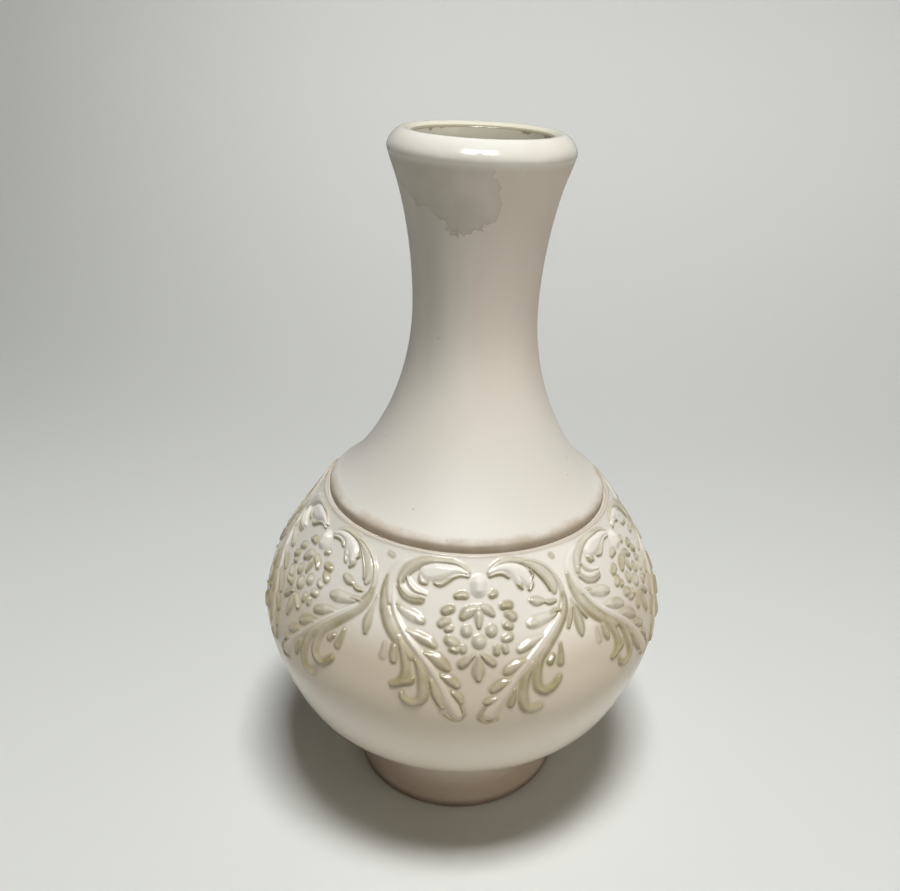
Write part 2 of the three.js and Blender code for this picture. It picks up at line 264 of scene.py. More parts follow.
# Each band is a kind of clay and the places it passes, as (across, down, width).
SCROLL_LEFT = [
    (BANK, [(-20.5, 2.6, 2.4), (-25, 4.8, 3.8), (-27.4, 8.8, 4.6), (-27.8, 13, 4), (-26.8, 17, 2.8)]),
    (VOLUTE, [(-3.2, 4.8, 1.3), (-5, 3.3, 1.7), (-8, 1.95, 2), (-12, 1.8, 2.3), (-16, 2.1, 2.8),
              (-19.6, 3.3, 3.6), (-22.6, 5.4, 4), (-24.2, 8, 3.4), (-24.8, 10.2, 2.4)]),
    (CURL, [(-25, 9.4, 1.2), (-24.3, 11.6, 1.8), (-22.4, 13.4, 2.2), (-19.6, 14.2, 2.4), (-16.9, 13.9, 2)]),
    (LEAF, [(-24.8, 12.2, 1.4), (-22.6, 14.2, 2.2), (-19.6, 15, 2.6), (-17.4, 14.8, 2.4)]),
    (CURL, [(-22.8, 8.6, 1.2), (-21.4, 10.6, 1.8), (-19, 12.1, 2), (-16.2, 12.7, 1.3)]),
    (HALF_LEAF, [(-3.8, 5.2, 2), (-7, 4.3, 3.2), (-10.5, 4.8, 4.8), (-14, 5.4, 6), (-16.8, 6.2, 5.2)]),
    (LEAF_EDGE, [(-3.4, 6.2, 1.2), (-6, 5.9, 1.5), (-8.3, 6.8, 1.6), (-10.2, 8.2, 1.8), (-12, 9.2, 2),
                 (-13.6, 9.1, 1.3)]),
    (LEAF_EDGE, [(-18.6, 7.8, 1.4), (-18, 9, 2.2), (-16.6, 9.5, 1.4)]),
    (STAIN, [(-18.9, 5.2, 1.4), (-17.4, 5.2, 1.3)]),
    (TAN_BAND, [(-29.4, 10, 1), (-29.2, 13.4, 2), (-28, 17.4, 3.2), (-26, 21, 3.8), (-23.6, 24.2, 3.8),
                (-20.8, 27, 3.2), (-17.6, 30, 2.4)]),
    (STEM, [(-26.6, 12, 1), (-25.6, 16, 1.7), (-23.6, 20, 1.9), (-20.4, 24, 2), (-16.6, 27.6, 2.1),
            (-12.8, 31.4, 2.2), (-10, 35, 2.4), (-7.8, 38.8, 2.9), (-5.9, 42.2, 3.4), (-5.1, 43.6, 3.2)]),
    (PALE_LEAF, [(-23.6, 17.8, 1.6), (-21, 18.6, 3), (-18, 19.6, 3.6), (-16.4, 20.3, 2.6)]),
    (LEAF, [(-17.2, 20.3, 2), (-15.8, 20.5, 1.8)]),
    (LEAF, [(-24.2, 17, 1), (-22.8, 17.4, 1.3)]),
    (PALE_LEAF, [(-19.6, 23.6, 1.2), (-16.6, 24.4, 2.8), (-14.4, 25.2, 3.2)]),
    (LEAF, [(-15.2, 24.8, 2.8), (-13.4, 25.5, 3), (-11.9, 26.4, 1.9)]),
    (LEAF, [(-14, 28.6, 1.2), (-11.4, 29.4, 3), (-9.2, 30.8, 3), (-7.9, 31.9, 1.6)]),
    (LEAF, [(-9.2, 33.8, 1.2), (-7, 34.7, 2.6), (-5.4, 35.9, 1.9)]),
    (LEAF, [(-6.2, 37.8, 1.2), (-4.9, 38.7, 2), (-4.2, 40, 1.4)]),
    (DARK_EDGE_SHADOW, [(-4, 41.2, 0.8), (-3.5, 43.2, 1), (-4.3, 44.8, 0.9), (-5.8, 45.1, 0.7), (-7.6, 43.8, 0.7)]),
    (HOOK, [(-21.4, 25.8, 1.6), (-19.6, 29, 2.4), (-18.4, 32.6, 2.4), (-18.4, 35, 2.4), (-19.4, 36.8, 2.2),
            (-21.4, 37.7, 1.3)]),
    (HOOK, [(-19, 36.6, 2.2), (-16.9, 36, 2.1), (-16.2, 35.2, 1.2)]),
    (HOOK, [(-16.2, 30.4, 1.2), (-14.6, 32.6, 2.6), (-13.6, 36, 3), (-13.4, 39.2, 2.9), (-14.6, 41, 2.2),
            (-16.6, 41.5, 2), (-18.3, 40.6, 1.7), (-18.7, 39.3, 1)]),
    (HOOK, [(-11.7, 35.2, 1.2), (-10.6, 37.8, 2.4), (-9.6, 40, 1.8), (-8.6, 41.8, 0.9)]),
    (HOOK, [(-22.2, 28.4, 2), (-22, 30.4, 2.6), (-21.8, 31.8, 1.8)]),
    (FAINT, [(-24.9, 28.2, 1.2), (-24.9, 31.4, 2)]),
]
SCROLL_RIGHT = [
    (CRESCENT, [(15.4, 2.6, 2), (18.4, 4, 3.4), (21.4, 6.6, 4.2), (23.4, 9.6, 4), (24.3, 12.4, 3),
                (24.2, 14, 1.6)]),
    (BANK_EDGE, [(14, 1.6, 1), (18.6, 2.8, 1.2), (22.6, 5.2, 1.4), (25.4, 8.6, 1.6), (26.8, 12.6, 1.7),
                 (26.9, 16, 1.8)]),
    (LEAF_EDGE, [(17.4, 4.6, 0.8), (19.4, 6.6, 1.1), (21.2, 9, 1.2), (22.4, 11.4, 1.1), (22.9, 13.2, 0.7)]),
    (VOLUTE, [(3.4, 5, 1.4), (4.8, 3.2, 1.8), (7.6, 1.9, 2.2), (11, 1.6, 2.4), (15, 2.3, 2.2)]),
    (HALF_LEAF, [(3.6, 5, 2), (6.2, 3.9, 3), (9.6, 3.9, 4), (12.6, 5.2, 5.2), (15, 7.2, 4.6), (16, 9.4, 3)]),
    (HALF_LEAF, [(11.8, 5.4, 4.6), (12.9, 8.4, 3)]),
    (LEAF_EDGE, [(3.7, 6.2, 1.3), (5.8, 5.5, 1.8), (8, 5.6, 1.8), (9.7, 7, 1)]),
    (LEAF_EDGE, [(12.5, 8.6, 1.2), (13.2, 10.1, 1.6), (13.8, 11, 0.9)]),
    (LEAF_EDGE, [(17.6, 5.8, 1.2), (18, 7.4, 1.2), (17, 8.7, 1.2), (17.2, 10.3, 1.4), (16.2, 11.6, 1.3)]),
    (TAN_BAND, [(27, 15, 1.2), (26.6, 17.4, 2.4), (25.2, 20.4, 3.4), (22.6, 23.4, 3.6), (19.4, 26.6, 3.6),
                (16.2, 29.8, 3.6), (13.2, 33, 2.8)]),
    (STEM, [(24, 20.8, 1), (21.8, 22.6, 1.7), (18.6, 25.4, 1.9), (15, 28.8, 2), (11.4, 32.4, 2.1),
            (8.6, 35.6, 2.3), (6.2, 38.8, 2.9), (4, 42, 3.7), (2.9, 43.6, 3.9)]),
    (LEAF, [(16.2, 15, 1.8), (17.6, 15.5, 2.8), (19.4, 15.8, 1.8)]),
    (LEAF, [(20.4, 16.2, 1), (22, 16.7, 1.6), (23.8, 16.6, 0.9)]),
    (PALE_LEAF, [(22.6, 20.2, 1.6), (19.4, 20.6, 3), (16.4, 21.1, 3.6), (14.8, 21.5, 2.6)]),
    (LEAF, [(15.8, 21.4, 2.6), (14.4, 21.6, 1.8)]),
    (LEAF, [(25, 19.5, 0.9), (22.8, 19.4, 1.4), (21.2, 19.8, 0.8)]),
    (PALE_LEAF, [(17.6, 25.2, 1.2), (14.8, 26, 2.6), (12, 27.2, 2.7)]),
    (LEAF, [(13, 26.9, 2.5), (10.9, 27.7, 2)]),
    (LEAF, [(12.4, 30.5, 1.2), (10, 31.3, 2.6), (7.8, 32.4, 2.7), (6.8, 33, 1.6)]),
    (LEAF, [(7.8, 35, 1), (5.6, 35.9, 2.6), (3.5, 37.1, 1.9)]),
    (LEAF, [(4.3, 39.3, 1), (2.8, 39.9, 1.8), (1.7, 40.3, 1.1)]),
    (DARK_EDGE_SHADOW, [(2, 41.4, 0.8), (0.7, 43.4, 1), (0.7, 44.9, 1), (2.4, 45.9, 0.8), (4.6, 45.2, 0.7)]),
    (HOOK, [(18, 28.4, 1.4), (15.9, 31.4, 2.2), (14.8, 34.8, 2.5), (15, 37.8, 2.5), (16.8, 39.2, 2.1),
            (18.8, 38.8, 1.9), (20.4, 37.4, 1.8), (20.9, 36.7, 1.5)]),
    (HOOK, [(14, 31.6, 1.6), (12, 34.6, 2.4), (11.1, 38, 2.6), (11.1, 41, 2.6), (12.2, 43.2, 2.4),
            (14, 43.5, 2.5), (15.2, 43.2, 2.3)]),
    (HOOK, [(8.9, 37.4, 0.8), (8.5, 39.6, 1.7), (7.9, 41.4, 1.6)]),
    (HOOK, [(19.9, 31, 1.2), (18.8, 32.2, 1.9)]),
    (TAN_BAND, [(22.5, 28.4, 0.8), (22.2, 30.8, 1.5), (21.7, 33, 2.1)]),
]
BEAD_SPRIG = [
    (BEAD, [(0, 8.4, 5.6), (0, 10.2, 5.4)]),
    (BUD, [(-6.6, 12.5, 1.9), (-5, 12, 2.8), (-4.1, 12.2, 2.4)]),
    (BUD, [(4, 12.1, 2.2), (4.7, 11.7, 2.5)]),
]
CREST = [
    (PETAL, [(-1, 15.9, 2.4), (-3.1, 16.8, 3.6), (-4.5, 18.3, 2.2)]),
    (PETAL, [(1, 15.7, 2.4), (2.7, 16.5, 2.7), (3.9, 17.7, 1.5)]),
    (PALE_LEAF, [(0, 16, 2.8), (0, 17.8, 2.8)]),
    (PETAL, [(0, 17.6, 2.4), (0, 19.2, 2.2), (0, 21, 1.2)]),
]
WREATH_LEFT = [
    (LOBE, [(-9.7, 17, 2.6), (-8.3, 16.2, 2.7)]),
    (LOBE, [(-10.5, 20.6, 2.2), (-9.3, 19.8, 2.8)]),
    (LOBE, [(-8.6, 21.8, 2), (-7.9, 21.6, 1.9)]),
    (LOBE, [(-7.9, 24.7, 2.8), (-6.7, 25.5, 3)]),
    (LOBE, [(-7, 26.8, 2), (-5.9, 27.1, 2)]),
    (LOBE, [(-4.3, 26.6, 2), (-4.2, 27.1, 1.9)]),
]
WREATH_RIGHT = [
    (LOBE, [(7.2, 15.5, 2.4), (9, 15.5, 2.7)]),
    (LOBE, [(8.6, 17.8, 2.6), (9.7, 18.8, 2.8)]),
    (LOBE, [(7.7, 21, 2.2), (8.6, 21.3, 2.2)]),
    (LOBE, [(7.1, 24.5, 2.2), (8.2, 24.1, 2.5)]),
    (LOBE, [(6.8, 26.5, 1.8), (7, 27.5, 1.8)]),
    (LOBE, [(4.6, 26.6, 1.7), (4.6, 27.8, 1.8)]),
]
FLOWER = [
    (BERRY, [(-3.4, 21.9, 3.1), (-3.4, 22.3, 3.1)]),
    (BERRY, [(3.4, 21.9, 3.2), (3.4, 22.3, 3.2)]),
    (BERRY, [(0, 24.8, 3.9), (0, 24.9, 3.9)]),
    (PETAL, [(-1.4, 28.3, 1.1), (-3.1, 29.8, 2.1), (-4.3, 30.7, 2.3)]),
    (PETAL, [(0.9, 28.4, 1.1), (2.3, 29.6, 1.9), (3.6, 30.6, 1.7)]),
    (PETAL, [(-0.2, 28.8, 1), (-0.2, 30.8, 2.6), (-0.2, 32.4, 3.1), (-0.1, 34.2, 1.7)]),
]
VALLEY_THREE = [
    (PALE_LEAF, [(29.2, 17.4, 0.8), (29.5, 20, 2)]),
    (LEAF, [(29.4, 19.6, 1.8), (29.8, 23.6, 3), (29.8, 26.4, 2.6), (29.7, 28, 1)]),
    (LEAF, [(28.6, 19.6, 1.2), (27.4, 22.2, 1.6), (26, 24.8, 1)]),
    (LEAF, [(30.5, 19.6, 1.2), (31.6, 21.8, 1.7), (32.7, 23.9, 1.2)]),
    (STAIN, [(26.4, 2.2, 1.6), (27, 3, 1.6)]),
]
VALLEY_ONE = [
    (FAINT, [(29.4, 16.6, 0.8), (28.9, 20.4, 1.2)]),
    (LEAF, [(28.7, 20.6, 1), (28.5, 24, 2.6), (28.8, 27, 1.1)]),
    (STAIN, [(29, 2.6, 1.8), (30.2, 3, 1.8)]),
]


def smooth_places(stops):
    """A Catmull-Rom line through the stops, with a place about every quarter unit."""
    stops = np.array(stops, float)
    ends = np.concatenate([[2 * stops[0] - stops[1]], stops, [2 * stops[-1] - stops[-2]]])
    places = []
    for a, b, c, d in zip(ends, ends[1:], ends[2:], ends[3:]):
        count = max(2, math.ceil(np.hypot(*(c - b)[:2]) / 0.5))
        t = np.arange(count)[:, None] / count
        places.append(b + 0.5 * t * (c - a + t * (2 * a - 5 * b + 4 * c - d + t * (3 * (b - c) + d - a))))
    return np.concatenate(places + [stops[-1:]])


def inside_band(points, stops):
    """How far inside a band's edge each point lies, and the band's half width there."""
    places = smooth_places(stops)
    starts, runs = places[:-1], np.diff(places, axis=0)
    square = np.maximum((runs[:, :2] ** 2).sum(1), 1e-9)
    nearest = np.full(len(points), -np.inf)
    half = np.ones(len(points))
    for start, run, length in zip(starts, runs, square):
        along = np.clip(((points - start[:2]) @ run[:2]) / length, 0, 1)
        width = (start[2] + along * run[2]) / 2
        inside = width - np.hypot(*(points - start[:2] - along[:, None] * run[:2]).T)
        closer = inside > nearest
        nearest = np.where(closer, inside, nearest)
        half = np.where(closer, width, half)
    return nearest, half


def eased(value, low, high):
    """From 0 to 1 between two values, with no corner at either end."""
    share = np.clip((value - low) / (high - low), 0, 1)
    return share ** 2 * (3 - 2 * share)


def relief(points, bands):
    """The height, wash and edge distance of a sprig at each point. Bands meet in soft creases."""
    total = np.zeros(len(points))
    wash = np.zeros(len(points))
    bare = np.zeros(len(points))
    edge = np.full(len(points), -9.0)
    for clay, stops in bands:
        inside, half = inside_band(points, stops)
        slope = np.minimum(clay.slope, half)
        side = 0.7 * eased(inside, 0, slope) + 0.3 * (1 - (1 - np.clip(inside / slope, 0, 1)) ** 2)
        crown = 1 - (1 - np.clip(inside / half, 0, 1)) ** 2
        total += (clay.rise * (0.7 * side + 0.3 * crown)) ** CREASE
        edge = np.maximum(edge, inside)
        if clay.wash:
            wash = np.maximum(wash, clay.wash * eased(inside, -HALO, 0.35))
        else:
            bare = np.maximum(bare, eased(inside, -0.2, 0.5))
    return total ** (1 / CREASE), wash * (1 - bare), edge


def belly_table():
    """The belly from the ring down: place, direction and how far down the drawing each lies."""
    outline = belly_outside(BELLY_STEPS)[::-1]
    steps = np.linalg.norm(np.diff(outline, axis=0), axis=1)
    radius = (outline[1:, 0] + outline[:-1, 0]) / 2
    down = np.concatenate([[0], np.cumsum(steps / radius / UNIT_ANGLE)])
    along = np.gradient(outline, axis=0)
    return down, outline, along / np.linalg.norm(along, axis=1)[:, None]


BELLY_DOWN, BELLY_PLACE, BELLY_ALONG = belly_table()


def on_belly(points, lift):
    """Drawing places wrapped on the belly and lifted off it by millimetres."""
    radius, height, across, fall = (
        np.interp(points[:, 1], BELLY_DOWN, column)
        for column in (BELLY_PLACE[:, 0], BELLY_PLACE[:, 1], BELLY_ALONG[:, 0], BELLY_ALONG[:, 1])
    )
    radius = radius - fall * lift
    height = height + across * lift
    turn = points[:, 0] * UNIT_ANGLE + FRONT_TURN
    return np.stack([radius * np.sin(turn), -radius * np.cos(turn), height], 1)


def sprig_mesh(bands):
    """A sprig for the front panel, as one closed relief that follows the belly."""
    places = np.concatenate([np.array(stops, float) for _, stops in bands])
    margin = places[:, 2].max() / 2 + FLANGE + CELL
    low = places[:, :2].min(0) - margin
    low[1] = max(low[1], 0.05)
    high = places[:, :2].max(0) + margin
    counts = np.ceil((high - low) / CELL).astype(int)

    bm = bmesh.new()
    bmesh.ops.create_grid(bm, x_segments=counts[0], y_segments=counts[1], size=0.5)
    points = np.array([vert.co.xy for vert in bm.verts]) + 0.5
    points = low + points * (high - low)
    height, wash, edge = relief(points, bands)
    outside = np.clip(-edge / FLANGE, 0, 1)
    lift = height + TOE * (1 - outside) ** 2 - SINK
    grid = lift.reshape(counts[1] + 1, counts[0] + 1)
    # How steeply each place faces down; the glaze uses it to paint shade on the lower sides.
    fall = -np.gradient(grid, (high[1] - low[1]) / counts[1], axis=0).ravel()

    wash_layer = bm.verts.layers.float.new("wash")
    edge_layer = bm.verts.layers.float.new("edge")
    fall_layer = bm.verts.layers.float.new("fall")
    for vert, (across, down), up, brown, inward, drop in zip(bm.verts, points, lift, wash, edge, fall):
        vert.co = (across, down, up)
        vert[wash_layer] = brown
        vert[edge_layer] = inward
        vert[fall_layer] = drop
    spare = [face for face in bm.faces if min(vert[edge_layer] for vert in face.verts) < -FLANGE]
    bmesh.ops.delete(bm, geom=spare, context="FACES")

    under = bm.faces[:]
    made = bmesh.ops.extrude_face_region(bm, geom=under, use_keep_orig=True)["geom"]
    top = {item for item in made if isinstance(item, bmesh.types.BMVert)}
    for vert in bm.verts:
        if vert not in top:
            vert.co.z = UNDERSIDE
    flat = np.array([vert.co for vert in bm.verts])
    for vert, place in zip(bm.verts, on_belly(flat[:, :2], flat[:, 2])):
        vert.co = place
    bmesh.ops.recalc_face_normals(bm, faces=bm.faces)
    return bm


def sprig_copy(drawn, panel, name):
    """The sprig turned to one panel of the vase."""
    bm = drawn.copy()
    turn = Matrix.Rotation(2 * math.pi * panel / PANELS, 3, "Z")
    bmesh.ops.rotate(bm, cent=(0, 0, 0), matrix=turn, verts=bm.verts)
    return finished(name, bm)


# Glazes: the colours of clay, glaze, wash and dirt, the painted shade and light laid on some of them, and the
# gloss of each surface

IVORY = (0.80, 0.755, 0.67, 1)
WARM_IVORY = (0.79, 0.725, 0.635, 1)
COOL_IVORY = (0.77, 0.76, 0.70, 1)
TOP_LIT_IVORY = (0.90, 0.875, 0.80, 1)
LOW_SHADED_IVORY = (0.76, 0.675, 0.545, 1)
WASH = (0.38, 0.325, 0.175, 1)
TIP_WASH_AND_SHADE = (0.60, 0.51, 0.375, 1)
FLOWER_WASH = (0.38, 0.33, 0.19, 1)
DARK_WASH_AND_SHADOW = (0.26, 0.215, 0.12, 1)
SHOULDER_SHADE_IVORY = (0.68, 0.685, 0.64, 1)
NECK_GREY_AND_SHADE = (0.60, 0.575, 0.50, 1)
NECK_PINK = (0.76, 0.67, 0.59, 1)
NECK_SHADE = (0.55, 0.51, 0.43, 1)
FILM_GREY = (0.50, 0.47, 0.375, 1)
RIM_CREAM = (0.82, 0.81, 0.74, 1)
MOUTH_CREAM = (0.78, 0.75, 0.62, 1)
THROAT_BROWN = (0.30, 0.26, 0.16, 1)
STAIN_BROWN = (0.37, 0.285, 0.19, 1)
FOOT_BROWN_AND_SHADE = (0.52, 0.41, 0.31, 1)
SOIL_AND_SHADE = (0.16, 0.12, 0.085, 1)
SHEET_NEAR = (0.7, 0.71, 0.685, 1)
SHEET_NEAR_SEEN = (0.765, 0.785, 0.76, 1)
SHEET_FAR = (0.57, 0.59, 0.57, 1)
SHEET_FAR_SEEN = (0.66, 0.685, 0.66, 1)
SHEET_GLOW = (0.99, 1, 0.96, 1)
BELLY_GLOSS = 0.16
SPRIG_GLOSS = 0.15
NECK_GLOSS = 0.58
RIM_GLOSS = 0.12
FOOT_GLOSS = 0.22
SHEET_GLOSS = 0.8
GLAZE_IOR = 1.6


class Glaze:
    """A glossy ceramic glaze, with short calls for the nodes that colour it."""

    def __init__(self, name, roughness):
        self.material = bpy.data.materials.new(name)
        self.material.use_nodes = True
        self.tree = self.material.node_tree
        self.shader = self.tree.nodes["Principled BSDF"]
        self.shader.inputs["Roughness"].default_value = roughness
        self.shader.inputs["IOR"].default_value = GLAZE_IOR
        self.coords = self.tree.nodes.new("ShaderNodeTexCoord").outputs["Object"]

    def node(self, kind, **settings):
        node = self.tree.nodes.new(kind)
        for key, value in settings.items():
            setattr(node, key, value)
        return node

    def feed(self, socket, value):
        if isinstance(value, bpy.types.NodeSocket):
            self.tree.links.new(value, socket)
        else:
            socket.default_value = value

    def math(self, operation, first, second=0.0, clamp=False):
        node = self.node("ShaderNodeMath", operation=operation, use_clamp=clamp)
        self.feed(node.inputs[0], first)
        self.feed(node.inputs[1], second)
        return node.outputs[0]

    def ramp(self, value, start, end, low=0.0, high=1.0):
        """A value eased from one level to another between two inputs."""
        node = self.node("ShaderNodeMapRange", interpolation_type="SMOOTHSTEP")
        for index, item in enumerate((value, start, end, low, high)):
            self.feed(node.inputs[index], item)
        return node.outputs[0]

    def mix(self, share, first, second, blend="MIX"):
        node = self.node("ShaderNodeMix", data_type="RGBA", blend_type=blend)
        self.feed(node.inputs[0], share)
        self.feed(node.inputs[6], first)
        self.feed(node.inputs[7], second)
        return node.outputs[2]

    def noise(self, scale, stretch=(1, 1, 1), detail=3.0, roughness=0.5, where=(0, 0, 0)):
        mapping = self.node("ShaderNodeMapping")
        mapping.inputs["Scale"].default_value = stretch
        mapping.inputs["Location"].default_value = where
        self.feed(mapping.inputs["Vector"], self.coords)
        node = self.node("ShaderNodeTexNoise")
        node.inputs["Scale"].default_value = scale
        node.inputs["Detail"].default_value = detail
        node.inputs["Roughness"].default_value = roughness
        self.feed(node.inputs["Vector"], mapping.outputs[0])
        return node.outputs["Fac"]

    def attribute(self, name):
        return self.node("ShaderNodeAttribute", attribute_name=name).outputs["Fac"]

    def height(self):
        node = self.node("ShaderNodeSeparateXYZ")
        self.feed(node.inputs[0], self.coords)
        return node.outputs

    def spots(self, scale, size, share):
        """Small round specks, on a share of the cells."""
        node = self.node("ShaderNodeTexVoronoi")
        node.inputs["Scale"].default_value = scale
        self.feed(node.inputs["Vector"], self.coords)
        near = self.ramp(node.outputs["Distance"], size * 0.5, size, 1, 0)
        chosen = self.node("ShaderNodeSeparateColor")
        self.feed(chosen.inputs[0], node.outputs["Color"])
        few = self.math("LESS_THAN", chosen.outputs[0], share)
        return self.math("MULTIPLY", near, few)

    def ivory(self):
        """The pale ground: warm and cool clouds, and a few specks."""
        cloud = self.ramp(self.noise(14, (1, 1, 0.6), 2), 0.35, 0.65)
        color = self.mix(cloud, WARM_IVORY, COOL_IVORY)
        color = self.mix(0.5, color, IVORY)
        specks = self.math("MULTIPLY", self.spots(260, 0.16, 0.035), 0.55)
        return self.mix(specks, color, SOIL_AND_SHADE)

    def finish(self, color, depth=0.00003):
        self.feed(self.shader.inputs["Base Color"], color)
        ripple = self.noise(130, detail=2)
        bump = self.node("ShaderNodeBump")
        bump.inputs["Distance"].default_value = depth
        bump.inputs["Strength"].default_value = 0.6
        self.feed(bump.inputs["Height"], ripple)
        self.feed(self.shader.inputs["Normal"], bump.outputs["Normal"])
        return self.material


def lowness(glaze, z):
    """How far down the belly a place is, from the seat to the widest place."""
    return glaze.ramp(z, 0.158, 0.105)


def belly_ground(glaze, z):
    """Ivory between the sprigs, painted brighter near the ring, and warmer and darker lower down with a brown
    band at their tips, both partly painted shade.
    """
    low = lowness(glaze, z)
    # Warmer and darker towards the widest place: partly the glaze's tone, partly painted shade.
    color = glaze.mix(low, glaze.ivory(), glaze.mix(0.25, LOW_SHADED_IVORY, glaze.ivory()))
    # Brighter near the ring: painted light.
    color = glaze.mix(glaze.ramp(z, 0.118, 0.138, 0, 0.75), color, TOP_LIT_IVORY)
    # A brown band at the sprigs' tips: partly wash, partly painted shade.
    tips = glaze.math("MULTIPLY", glaze.ramp(z, 0.136, 0.115), glaze.ramp(z, 0.08, 0.102))
    return glaze.mix(glaze.math("MULTIPLY", tips, 0.6), color, TIP_WASH_AND_SHADE)


def belly_glaze():
    """Ivory with pale runs down the sides, browner and darker towards the foot, partly painted shade."""
    glaze = Glaze("ivory_belly_glaze", BELLY_GLOSS)
    z = glaze.height()[2]
    low = lowness(glaze, z)
    color = belly_ground(glaze, z)
    runs = glaze.ramp(glaze.noise(26, (1, 1, 0.12), 2), 0.42, 0.68)
    color = glaze.mix(glaze.math("MULTIPLY", glaze.math("MULTIPLY", runs, low), 0.3), color, NECK_PINK)
    # Browner and darker down the bowl: partly a brown tint, partly painted shade under the belly.
    bowl = glaze.ramp(z, 0.068, 0.028)
    color = glaze.mix(glaze.math("MULTIPLY", bowl, 0.3), color, FOOT_BROWN_AND_SHADE)
    # The belly takes the foot's brown where the two meet: painted shade in the join.
    foot_join_shade = glaze.ramp(z, 0.0226, 0.032, 0.55, 0)
    color = glaze.mix(foot_join_shade, color, FOOT_BROWN_AND_SHADE)
    groove = glaze.ramp(z, 0.1594, 0.1606)
    color = glaze.mix(glaze.math("MULTIPLY", groove, 0.45), color, STAIN_BROWN)
    return glaze.finish(color)


def water_stain(glaze, color):
    """The patch under the rim where water dried: a grey film with a darker tide line round it."""
    x, y, z = glaze.height()
    beside = glaze.math("MULTIPLY", glaze.math("ABSOLUTE", glaze.math("ADD", x, 0.005)), 0.6)
    below = glaze.math("SUBTRACT", glaze.math("SUBTRACT", z, 0.286), beside)
    inward = glaze.math("MINIMUM", below, glaze.math("SUBTRACT", 0.0065, x))
    wavy = glaze.math("MULTIPLY", glaze.noise(95, detail=5, roughness=0.68), 0.022)
    inward = glaze.math("SUBTRACT", glaze.math("ADD", inward, wavy), 0.011)
    front = glaze.math("LESS_THAN", y, 0.0)
    film = glaze.math("MULTIPLY", glaze.ramp(inward, 0, 0.0005), front)
    tide = glaze.math("MULTIPLY", film, glaze.ramp(inward, 0.0004, 0.0016, 1, 0))
    mottled = glaze.ramp(glaze.noise(60, detail=4), 0.3, 0.7, 0.2, 0.65)
    color = glaze.mix(glaze.math("MULTIPLY", film, mottled), color, FILM_GREY)
    return glaze.mix(glaze.math("MULTIPLY", tide, 0.3), color, THROAT_BROWN)


def neck_color(glaze):
    """The streaked grey and pink of the neck, which runs on under the rim. The grey left side is partly
    painted shade, the shoulder is painted darker, and the top is painted shade under the rim.
    """
    x, _, z = glaze.height()
    streaks = glaze.ramp(glaze.noise(42, (1, 1, 0.05), 3), 0.4, 0.62)
    upper = glaze.ramp(z, 0.185, 0.262)
    # Greyer and darker on the left: partly the glaze's tint, partly painted shade on the side away from the
    # lamps.
    tint_and_side_shade = glaze.mix(glaze.ramp(x, -0.022, 0.008), NECK_GREY_AND_SHADE, NECK_PINK)
    share = glaze.math("MULTIPLY", upper, glaze.math("ADD", glaze.math("MULTIPLY", streaks, 0.45), 0.3))
    # Greyer and darker low on the neck: painted shade against the gleams' sheen on the shoulder.
    color = glaze.mix(glaze.ramp(z, 0.225, 0.18, 0, 0.4), glaze.ivory(), SHOULDER_SHADE_IVORY)
    color = glaze.mix(share, color, tint_and_side_shade)
    shade = glaze.ramp(z, 0.272, 0.315)
    color = glaze.mix(glaze.math("MULTIPLY", shade, 0.3), color, NECK_SHADE)
    return water_stain(glaze, color)


def neck_glaze():
    """The neck's colour, with a brown stain on the lip of the collar and down to the seam."""
    glaze = Glaze("ivory_neck_glaze", NECK_GLOSS)
    z = glaze.height()[2]
    color = neck_color(glaze)
    patchy = glaze.ramp(glaze.noise(48, (1, 1, 1.6), 4, 0.62), 0.3, 0.7, 0, 1)
    top = glaze.math("ADD", glaze.math("MULTIPLY", patchy, 0.0012), 0.1646)
    band = glaze.ramp(glaze.math("SUBTRACT", top, z), -0.0012, 0.0018)
    dark = glaze.math("ADD", glaze.math("MULTIPLY", patchy, 0.25), 0.6)
    color = glaze.mix(glaze.math("MULTIPLY", band, dark), color, STAIN_BROWN)
    seam = glaze.ramp(z, 0.1618, 0.1604)
    color = glaze.mix(glaze.math("MULTIPLY", seam, 0.2), color, STAIN_BROWN)
    return glaze.finish(color)


def rim_glaze():
    """Glossy cream with a brown line inside the mouth, and the neck's colour and gloss below the roll, partly
    painted shade there.
    """
    glaze = Glaze("cream_rim_glaze", RIM_GLOSS)
    x, y, z = glaze.height()
    across = glaze.math("SQRT", glaze.math("ADD", glaze.math("MULTIPLY", x, x), glaze.math("MULTIPLY", y, y)))
    cloud = glaze.ramp(glaze.noise(35, detail=2), 0.4, 0.65)
    color = glaze.mix(cloud, RIM_CREAM, IVORY)
    color = glaze.mix(glaze.ramp(across, 0.0345, 0.0318), color, MOUTH_CREAM)
    level = glaze.math("SUBTRACT", z, glaze.math("MULTIPLY", y, MOUTH_DIP))
    drips = glaze.ramp(glaze.noise(120, (1, 1, 0.1), 3), 0.5, 0.64, 0.0013, 0.003)
    below = glaze.math("SUBTRACT", 0.3252, level)
    line = glaze.math("MULTIPLY", glaze.ramp(below, 0, 0.0004), glaze.math("LESS_THAN", below, drips))
    throat = glaze.math("MULTIPLY", glaze.math("MULTIPLY", glaze.ramp(across, 0.0312, 0.0304), line), 0.75)
    color = glaze.mix(throat, color, THROAT_BROWN)
    # Below the roll the rim takes the neck's darker colour: partly the neck's stain, partly painted shade
    # under the roll.
    color = glaze.mix(glaze.ramp(level, 0.3185, 0.3145), color, neck_color(glaze))
    glaze.feed(glaze.shader.inputs["Roughness"], glaze.ramp(level, 0.3188, 0.3158, RIM_GLOSS, NECK_GLOSS))
    specks = glaze.math("MULTIPLY", glaze.spots(180, 0.12, 0.03), 0.6)
    color = glaze.mix(specks, color, SOIL_AND_SHADE)
    return glaze.finish(color)


